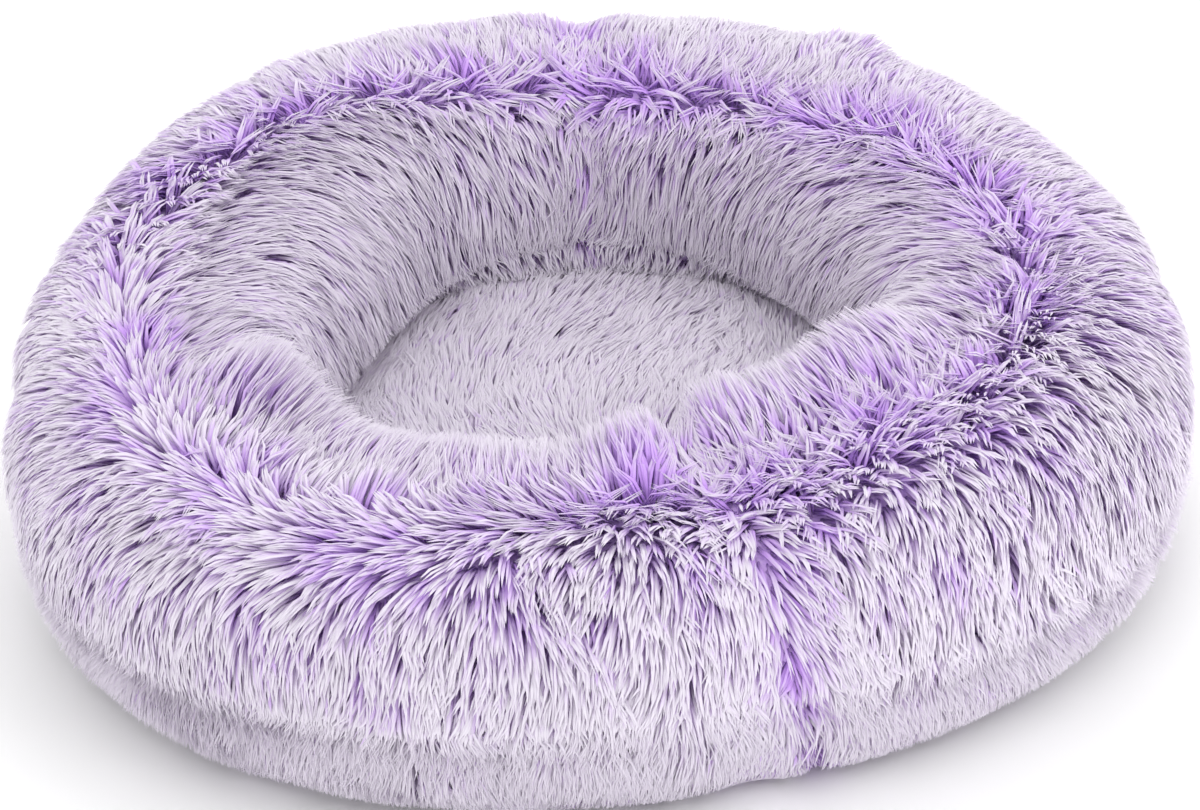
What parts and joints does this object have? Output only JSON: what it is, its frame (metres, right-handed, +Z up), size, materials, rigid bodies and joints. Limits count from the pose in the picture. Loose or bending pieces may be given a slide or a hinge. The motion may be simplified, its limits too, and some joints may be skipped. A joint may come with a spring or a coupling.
{
  "type": "round pet bed",
  "caption": "Round pet bed: a stuffed ring of long shaggy fur round a soft crowned sleeping surface, with a zip at the back and a grip base.",
  "frame": {"origin": "middle of the underside, on the centre grip dot, where the bed rests", "axes": "+Z up; -Y is the front, the side nearest the picture's camera; +X is the right seen from the front; the zip is at +Y"},
  "size_m": [0.5866, 0.6042, 0.1661],
  "materials": {
    "long_pile_fur": "long shaggy polyester pile, lilac with frosted tips",
    "woven_lining": "plain woven polyester",
    "fibre_fill": "loose polyester fibre",
    "grip_cloth": "plain woven cloth with moulded grip dots",
    "zip_tape": "woven zip tape",
    "zip_teeth": "moulded, satin",
    "zip_metal": "plated die casting"
  },
  "bodies": {
    "bed": {"bolster_panel_back_right": "long_pile_fur", "bolster_panel_back_left": "long_pile_fur", "bolster_panel_front_left": "long_pile_fur", "bolster_panel_front_right": "long_pile_fur", "base_border": "long_pile_fur", "sleeping_surface": "long_pile_fur", "base_liner_lower": "woven_lining", "base_liner_upper": "woven_lining", "bolster_divider": "woven_lining", "bolster_liner_upper": "woven_lining", "bolster_liner_lower": "woven_lining", "base_fill": "fibre_fill", "bolster_fill": "fibre_fill", "base_panel": "grip_cloth", "zip_tape_upper": "zip_tape", "zip_tape_lower": "zip_tape", "zip_teeth_upper": "zip_teeth", "zip_teeth_lower": "zip_teeth", "zip_top_stop_upper": "zip_teeth", "zip_top_stop_lower": "zip_teeth", "zip_bottom_stop": "zip_teeth"},
    "slider": {"zip_slider_front": "zip_metal", "zip_slider_back": "zip_metal"},
    "pull": {"zip_pull": "zip_metal"}
  },
  "joints": [
    {"name": "zip_slide", "type": "hinge", "parent": "bed", "child": "slider", "pos_m": [0, 0, 0.034], "axis": [0, 0, 1], "range_deg": [0, 52]},
    {"name": "pull_swing", "type": "hinge", "parent": "slider", "child": "pull", "pos_m": [0.11973, 0.24412, 0.034], "axis": [0, 0, -1], "range_deg": [0, 180]}
  ]
}
